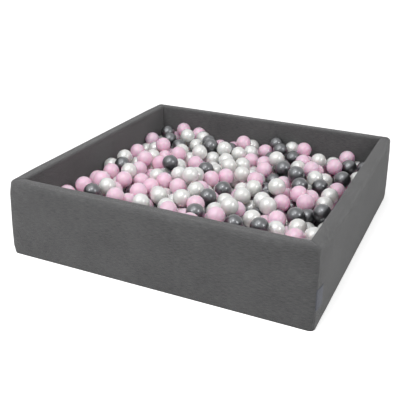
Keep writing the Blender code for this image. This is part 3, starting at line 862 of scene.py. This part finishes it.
def make_panel(side):
    """One jersey panel: a cloth skin blown out over the foam, then given its thickness."""
    count = len(STATIONS)
    ends = (0, count - 1)
    rows, places, limits = [], [], []
    across = 0.0
    for r, (depth, height) in enumerate(SECTION):
        if r:
            across += hypot(depth - SECTION[r - 1][0], height - SECTION[r - 1][1])
        inner = r > len(SECTION) // 2 and depth > WALL_THICKNESS / 2
        start = INNER_START if inner and height > BALL_LEVEL else FIT_GAP if inner else 0.0
        row = []
        for c, station in enumerate(STATIONS):
            x, y = wall_point(station, depth - start, height)
            if c in ends:
                x -= copysign(SEAM_GAP, x)
            row.append((x, y, height))
            places.append((x, across))
            pinned = c in ends or r in (0, 1) or (inner and height <= BALL_LEVEL)
            limits.append(0.0 if pinned else INNER_SWELL if inner else OUTER_SWELL)
        rows.append(row)
    holes = zip_cells(rows) if side == "back" else set()
    for r, c in holes:
        for corner in (0, 1, count, count + 1):
            limits[r * count + c + corner] = 0.0
    name = f"wall_panel_{side}"
    mesh = grid_mesh(name, rows, holes)
    set_cloth_map(mesh, places)
    limits = np.array(limits)
    if holes:
        limits = limits[drop_loose_points(mesh)]
    panel = link_piece(name, mesh, "jersey")
    swell(panel, limits)
    finer = panel.modifiers.new("finer", "SUBSURF")
    finer.levels = finer.render_levels = 1
    keep_result(panel)
    dress_skin(panel.data, SIDES.index(side) + 1)
    corners = read_points(panel.data).tolist()
    skin = BVHTree.FromPolygons(corners, [tuple(f.vertices) for f in panel.data.polygons])
    thicken(panel, COVER_THICKNESS)
    panel.data.transform(side_turn(side))
    finish_piece(panel, "wall_ring", "jersey", f"cover_{side}")
    return skin


def make_foam_wall(side):
    """The mitred foam slab inside a panel, slightly rounded by the cover's pull."""
    name = f"foam_core_{side}"
    stations = STATIONS[::2]
    low, high = WALL_BOTTOM + COVER_THICKNESS, WALL_HEIGHT - FOAM_INSET
    radius = RIM_RADIUS - FOAM_INSET / 2
    near, far = FOAM_INSET, WALL_THICKNESS - FOAM_INSET
    if side == "back":
        near += FOAM_INSET / 2
    section = [(near, low + (high - radius - low) * k / 6) for k in range(6)]
    for k in range(5):
        angle = quarter(k, 4)
        section.append((near + radius * (1 - cos(angle)), high - radius * (1 - sin(angle))))
    section += [(far - (depth - near), height) for depth, height in reversed(section)]
    rows = [[(*wall_point(s, depth, height), height) for s in stations] for depth, height in section]
    for row in rows:
        row[0] = (row[0][0] + FOAM_END_GAP, *row[0][1:])
        row[-1] = (row[-1][0] - FOAM_END_GAP, *row[-1][1:])
    points = [p for row in rows for p in row]
    count, turns = len(stations), len(rows)
    faces = grid_faces(turns, count, round_rows=True)
    faces.append([r * count for r in range(turns)])
    faces.append([r * count + count - 1 for r in reversed(range(turns))])
    mesh = new_mesh(name, points, faces)
    mesh.transform(side_turn(side))
    foam = link_piece(name, mesh, "foam")
    mesh.set_sharp_from_angle(angle=radians(50))
    finish_piece(foam, "wall_ring", "foam", f"foam_wall_{side}")


# Base sheet and mat


def rounded_places(half, radius, cell):
    """Places across a slab, closer together in its rounded edges."""
    edge = [half - radius * (1 - k / 5) for k in range(6)]
    count = max(2, round((half - radius) / cell))
    inner = [(half - radius) * k / count for k in range(-count + 1, count)]
    return sorted([-e for e in edge] + inner + edge)


def slab_skin(name, half, low, high, radius, cell, level):
    """The top and sides of a square soft slab. level(x, y) lowers its top a little."""
    runs = rounded_places(half, radius, cell)
    zs = [low, low + (high - low) * 0.3, high - radius - 0.006]
    zs += [high - radius * (1 - k / 4) for k in range(5)]
    flat = half - radius
    bm = bmesh.new()
    layer = bm.loops.layers.uv.new("cloth")
    seen = {}

    def corner(x, y, z):
        key = (round(x, 7), round(y, 7), round(z, 7))
        if key not in seen:
            core = Vector((max(-flat, min(flat, x)), max(-flat, min(flat, y)), min(z, high - radius)))
            away = Vector((x, y, z)) - core
            place = core + away.normalized() * radius if away.length > 1e-9 else core
            if z >= high - 1e-9:
                place.z -= level(x, y)
            seen[key] = bm.verts.new(place)
        return seen[key]

    def cell_face(corners, places):
        face = bm.faces.new([corner(*c) for c in corners])
        for loop, place in zip(face.loops, places):
            loop[layer].uv = place

    for x0, x1 in zip(runs, runs[1:]):
        for y0, y1 in zip(runs, runs[1:]):
            spots = ((x0, y0), (x1, y0), (x1, y1), (x0, y1))
            cell_face([(x, y, high) for x, y in spots], spots)
    for z0, z1 in zip(zs, zs[1:]):
        for sign, along_x in ((-1, True), (-1, False), (1, True), (1, False)):
            for a, b in zip(runs, runs[1:]):
                first, last = (a, b) if (sign < 0) == along_x else (b, a)
                spots = ((first, z0), (last, z0), (last, z1), (first, z1))
                edge = sign * half
                cell_face([(s, edge, z) if along_x else (edge, s, z) for s, z in spots], spots)
    mesh = bpy.data.meshes.new(name)
    bm.to_mesh(mesh)
    bm.free()
    return mesh


def rounded_ring(half, radius):
    """A square outline with rounded corners."""
    ring = []
    for turn, (side_x, side_y) in enumerate(((1, 1), (-1, 1), (-1, -1), (1, -1))):
        for k in range(RING_STEPS + 1):
            angle = radians(90) * (turn + k / RING_STEPS)
            x = side_x * (half - radius) + radius * cos(angle)
            y = side_y * (half - radius) + radius * sin(angle)
            ring.append((x, y))
    return ring


def flat_sheet(name, half, radius, height):
    """A laid sheet whose rings shrink inwards from its rounded outline."""
    rings = int((half - 0.02) / RING_SPACING)
    levels = [0.0, 0.004, 0.010] + [0.010 + RING_SPACING * k for k in range(1, rings)]
    points = []
    for level in levels:
        ring = rounded_ring(half - level, max(radius - level, 0.003))
        for k, ((x0, y0), (x1, y1)) in enumerate(zip(ring, ring[1:] + ring[:1])):
            steps = RING_SIDE_STEPS if k % (RING_STEPS + 1) == RING_STEPS else 1
            for j in range(steps):
                points.append((x0 + (x1 - x0) * j / steps, y0 + (y1 - y0) * j / steps, height))
    count = len(points) // len(levels)
    faces = grid_faces(len(levels), count, round_columns=True)
    faces.append([(len(levels) - 1) * count + c for c in range(count)])
    mesh = new_mesh(name, points, faces)
    set_cloth_map(mesh, [p[:2] for p in points])
    return mesh


def make_base():
    """The woven base sheet, sewn to the wall panels along the floor."""
    name = "base_cloth_sheet"
    mesh = flat_sheet(name, PIT_HALF - BASE_INSET, SEAM_RADIUS + HEM_EASE - BASE_INSET, BASE_TOP)
    sheet = link_piece(name, mesh, "base_fabric")
    thicken(sheet, BASE_TOP - FLOOR_GAP)
    finish_piece(sheet, "wall_ring", "base_fabric", "base_sheet")


def mat_dip(x, y):
    """The mat gives a little under the balls, and rises between them."""
    return 0.0006 + 0.0005 * noise(Vector((x * 14, y * 14, 2.0)))


def make_mat():
    """Foam slab in its own cover: jersey above and round the sides, woven cloth below."""
    mesh = slab_skin("mat_jersey_top", MAT_HALF, WALL_BOTTOM, MAT_TOP, MAT_EDGE_RADIUS, MAT_CELL, mat_dip)
    top = link_piece("mat_jersey_top", mesh, "mat_jersey")
    thicken(top, COVER_THICKNESS)
    finish_piece(top, "mat", "mat_jersey", "mat_cover_top")
    inner = COVER_THICKNESS + FIT_GAP + MAT_FOAM_GAP
    low, high, radius = WALL_BOTTOM + inner, MAT_TOP - inner, MAT_EDGE_RADIUS - inner
    mesh = slab_skin("mat_foam_slab", MAT_HALF - inner, low, high, radius, MAT_FOAM_CELL, lambda x, y: 0.0)
    foam = link_piece("mat_foam_slab", mesh, "foam")
    bm = bmesh.new()
    bm.from_mesh(mesh)
    bmesh.ops.holes_fill(bm, edges=[e for e in bm.edges if e.is_boundary])
    bm.to_mesh(mesh)
    bm.free()
    finish_piece(foam, "mat", "foam", "mat_foam")
    half = MAT_HALF - COVER_THICKNESS - FIT_GAP
    mesh = flat_sheet("mat_cloth_under", half, MAT_EDGE_RADIUS, WALL_BOTTOM + COVER_THICKNESS)
    under = link_piece("mat_cloth_under", mesh, "base_fabric")
    thicken(under, MAT_UNDER_THICKNESS)
    finish_piece(under, "mat", "base_fabric", "mat_cover_bottom")
    ring = rounded_ring(MAT_HALF + FLOOR_GAP, MAT_EDGE_RADIUS)
    line = [(x, y, WALL_BOTTOM + MAT_SEWING_RISE) for x, y in ring + ring[:1]]
    sew("mat_stitches", [line], "mat", "mat_jersey")


# Balls


def rest_heights(x, y, placed, floor):
    """Height at which a ball's centre comes to rest at each (x, y) on the balls already placed."""
    away_x = x[:, None] - placed[:, 0]
    away_y = y[:, None] - placed[:, 1]
    room = (2 * SPACING_RADIUS) ** 2 - away_x**2 - away_y**2
    touching = placed[:, 2] + np.sqrt(np.maximum(room, 0))
    heights = np.where(room > 0, touching, floor)
    return np.maximum(heights.max(axis=1, initial=floor), floor)


def drop_balls():
    """Drops the balls one by one. Each rolls downhill until it sits in a hollow of the heap."""
    draws = random.Random(HEAP_SEED)
    floor = MAT_TOP + FIT_GAP + BALL_RADIUS
    reach = INSIDE_HALF - FIT_GAP - BALL_RADIUS
    angles = np.arange(ROLL_DIRECTIONS) * radians(360 / ROLL_DIRECTIONS)
    placed = np.zeros((0, 3))
    for _ in range(BALL_COUNT):
        starts = [[draws.uniform(-reach, reach) for _ in "xy"] for _ in range(DROPS_PER_BALL)]
        heights = rest_heights(*np.transpose(starts), placed, floor)
        lowest = heights.argmin()
        x, y = starts[lowest]
        height = heights[lowest]
        step = BALL_RADIUS / 2
        while step > SETTLED_STEP:
            near = placed[np.hypot(placed[:, 0] - x, placed[:, 1] - y) < 4 * BALL_RADIUS]
            tries_x = np.clip(x + step * np.cos(angles), -reach, reach)
            tries_y = np.clip(y + step * np.sin(angles), -reach, reach)
            heights = rest_heights(tries_x, tries_y, near, floor)
            lowest = heights.argmin()
            if heights[lowest] < height - SETTLED_STEP / 10:
                x, y, height = tries_x[lowest], tries_y[lowest], heights[lowest]
            else:
                step /= 2
        placed = np.vstack([placed, [x, y, height]])
    return placed


def grow_balls(name, centers, word, steps, seed):
    sizes = {"Ball_radius": BALL_RADIUS, "Ball_steps": steps, "Seed": seed}
    return grow(name, "balls", new_mesh("guide_points", centers), word, **sizes)


def make_balls():
    """The heap in three finishes, and each loose ball of the frame on its own body."""
    centers = drop_balls()
    left = np.ones(len(centers), bool)
    for node in sorted(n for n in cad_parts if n.startswith("ball_") and n != "ball_bed"):
        word, number = node.split("_")[1:]
        low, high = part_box(node)
        own = int(np.argmin(np.linalg.norm(centers - np.array((low + high) / 2), axis=1)))
        left[own] = False
        name = f"play_ball_{number}_{word}"
        ball = grow_balls(name, [centers[own]], word, LOOSE_BALL_STEPS, int(number))
        finish_piece(ball, f"loose_ball_{number}", f"ball_{word}", node)
    draws = random.Random(COLOUR_SEED)
    groups = {word: [] for word in FINISH_SHARES}
    for center in centers[left]:
        word = draws.choices(list(FINISH_SHARES), list(FINISH_SHARES.values()))[0]
        groups[word].append(center)
    for seed, (word, spots) in enumerate(groups.items(), start=FIRST_HEAP_SEED):
        heap = grow_balls(f"heap_balls_{word}", spots, word, HEAP_BALL_STEPS, seed)
        finish_piece(heap, "heap", f"ball_{word}", "ball_bed")


# Zip


def make_zip():
    """Woven tapes and coil teeth. The stops, slider and pull keep their CAD shape."""
    for word, side, shift in (("upper", -1.0, 0.0), ("lower", 1.0, TOOTH_PITCH / 2)):
        low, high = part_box(f"zip_tape_{word}")
        xs = [high.x + (low.x - high.x) * c / TAPE_CELLS for c in range(TAPE_CELLS + 1)]
        rows = [[(x, high.y, z) for x in xs] for z in (low.z, (low.z + high.z) / 2, high.z)]
        name = f"zip_ribbon_{word}"
        mesh = grid_mesh(name, rows)
        set_cloth_map(mesh, [(p[0], p[2]) for row in rows for p in row])
        ribbon = link_piece(name, mesh, "zip_tape")
        thicken(ribbon, high.y - low.y)
        finish_piece(ribbon, "wall_ring", "zip_tape", f"zip_tape_{word}")
        low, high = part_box(f"zip_teeth_{word}")
        y, z = (low.y + high.y) / 2, (low.z + high.z) / 2
        line = line_mesh([[(low.x + COIL_INSET + shift, y, z), (high.x - COIL_INSET, y, z)]])
        sizes = {"Rod_radius": TOOTH_RADIUS, "Rod_length": high.z - low.z, "Head_side": side}
        teeth = grow(f"zip_coil_{word}", "teeth", line, "nylon", Pitch=TOOTH_PITCH, **sizes)
        finish_piece(teeth, "wall_ring", "zip_teeth", f"zip_teeth_{word}")
    for node in ("zip_stop_closed", "zip_stop_open", "zip_slider", "zip_pull"):
        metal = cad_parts[node]
        metal.data.materials.clear()
        metal.data.materials.append(FINISHES["metal"])


# Corner tab


def seam_point(run, height):
    """Place and outward direction on a wall's face, in its own frame, at a run from its left seam."""
    turned = min(run / SEAM_RADIUS, radians(45))
    lean = radians(45) - turned
    x, y = wall_point((-1, lean), 0.0, height)
    x += run - turned * SEAM_RADIUS
    return Vector((x, y, height)), Vector((-sin(lean), -cos(lean), 0))


def make_tab(skin):
    """A bare ribbon, folded once, whose ends are caught in the corner seam. It lies on the right panel."""
    low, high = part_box("corner_tab")
    layer = (high.z - low.z) * TAB_LAYER_SHARE
    runs = list(np.linspace(0.0, TAB_REACH, TAB_STEPS))
    path = [(run, layer) for run in runs]
    for k in range(1, TAB_FOLD_STEPS):
        angle = pi * k / TAB_FOLD_STEPS
        path.append((TAB_REACH + 0.5 * layer * sin(angle), layer * (1.5 - 0.5 * cos(angle))))
    path += [(run, 2 * layer) for run in reversed(runs)]
    turn = side_turn("right")
    heights = np.linspace(low.z, high.z, TAB_ROWS)
    rows, places = [], []
    length = 0.0
    for k, (run, lift) in enumerate(path):
        if k:
            length += hypot(run - path[k - 1][0], lift - path[k - 1][1])
        row = []
        for height in heights:
            place, out = seam_point(run, height)
            hit = skin.ray_cast(place + out * 0.02, -out)[0]
            row.append(turn @ ((hit or place) + out * lift))
            places.append((height, length))
        rows.append(row)
    mesh = grid_mesh("woven_corner_tab", rows)
    set_cloth_map(mesh, places)
    tab = thicken(link_piece("woven_corner_tab", mesh, "tab"), layer * TAB_CLOTH_SHARE, offset=0)
    finish_piece(tab, "wall_ring", "woven_tab", "corner_tab")


# Sewing of the cover


def on_skin(skin, point):
    """The nearest place on a panel's skin, with the thread's middle just above it."""
    place, normal, _, _ = skin.find_nearest(Vector(point))
    return place + normal * THREAD_RADIUS * 0.3


def seam_line(skin, sign):
    """Sewing beside a corner seam, from the outer hem over the rim and down to the balls."""
    line = []
    for depth, height in SECTION:
        low = depth > WALL_THICKNESS / 2 and height < BALL_LEVEL - SEAM_SEWING_DEPTH
        if low or height < WALL_BOTTOM + SEAM_SEWING_START:
            continue
        x, y = wall_point((sign, 0.0), depth, height)
        line.append(on_skin(skin, (x + sign * SEAM_SEWING_SIDE, y, height)))
    return line


def sew_cover(skins):
    """Sewing of the corner seams, the hem, the zip's opening and the base."""
    lines = []
    for side, skin in skins.items():
        wall_lines = []
        if side in ("front", "back"):
            wall_lines += [seam_line(skin, sign) for sign in (-1, 1)]
        hem = WALL_BOTTOM + HEM_SEWING_RISE
        wall_lines.append([on_skin(skin, (*wall_point(s, 0.0), hem)) for s in STATIONS[1:-1:2]])
        if side == "back":
            reach = ZIP_HALF + ZIP_SEWING_MARGIN
            spots = np.linspace(-reach, reach, ZIP_SEWING_SPOTS)
            for height in (ZIP_LOW - ZIP_SEWING_MARGIN, ZIP_HIGH + ZIP_SEWING_MARGIN):
                wall_lines.append([on_skin(skin, (x, -PIT_HALF, height)) for x in spots])
        turn = side_turn(side)
        lines += [[turn @ p for p in line] for line in wall_lines]
    sew("cover_stitches", lines, "wall_ring", "jersey")
    ring = rounded_ring(PIT_HALF - BASE_SEWING_INSET, SEAM_RADIUS)
    base_line = [(x, y, FLOOR_GAP + THREAD_RADIUS * 0.6) for x, y in ring + ring[:1]]
    sew("base_stitches", [base_line], "wall_ring", "base_fabric")


# Floor and background


def seen_share(tree):
    """1 for rays from the camera and for those that gloss or glass send on, and 0 for the rest."""
    rays = add_node(tree, "ShaderNodeLightPath").outputs
    seen = calc(tree, "MAXIMUM", rays["Is Camera Ray"], rays["Is Glossy Ray"])
    return calc(tree, "MAXIMUM", seen, rays["Is Transmission Ray"])


def make_floor():
    """Pale floor that keeps the pit's shadow."""
    corners = [(FLOOR_REACH * x, FLOOR_REACH * y, 0) for x, y in ((-1, -1), (1, -1), (1, 1), (-1, 1))]
    mesh = new_mesh("studio_floor", corners, [(0, 1, 2, 3)])
    floor = link_piece("studio_floor", mesh, smooth=False)
    floor.location.z = -FLOOR_DROP
    material = bpy.data.materials.new("pale_floor")
    material.use_nodes = True
    tree = material.node_tree
    tree.nodes.clear()
    diffuse = made(tree, "ShaderNodeBsdfDiffuse", Color=(0.86, 0.86, 0.86, 1.0))
    place = object_places(tree)
    distance = add_node(tree, "ShaderNodeVectorMath", {"operation": "LENGTH"}, in_0=place).outputs["Value"]
    white = spread(tree, distance, FLOOR_NEAR, FLOOR_FAR, FLOOR_GLOW, 1.0)
    strength = times(tree, seen_share(tree), white)
    glow = made(tree, "ShaderNodeEmission", Color=(1, 1, 1, 1), Strength=strength)
    both = made(tree, "ShaderNodeAddShader", in_0=diffuse, in_1=glow)
    add_node(tree, "ShaderNodeOutputMaterial", Surface=both)
    mesh.materials.append(material)


def make_background():
    """White to the camera, and a dim light all round."""
    world = bpy.data.worlds.new("studio")
    bpy.context.scene.world = world
    world.use_nodes = True
    tree = world.node_tree
    tree.nodes.clear()
    strength = spread(tree, seen_share(tree), 0.0, 1.0, WORLD_LIGHT, 1.0)
    sky = made(tree, "ShaderNodeBackground", Color=(1, 1, 1, 1), Strength=strength)
    add_node(tree, "ShaderNodeOutputWorld", Surface=sky)


bpy.context.scene.view_settings.view_transform = "Standard"
make_camera()
make_floor()
make_background()
make_lamps()
skins = {side: make_panel(side) for side in SIDES}
for side in SIDES:
    make_foam_wall(side)
make_base()
make_mat()
make_balls()
make_zip()
make_tab(skins["right"])
sew_cover(skins)
bpy.context.view_layer.update()
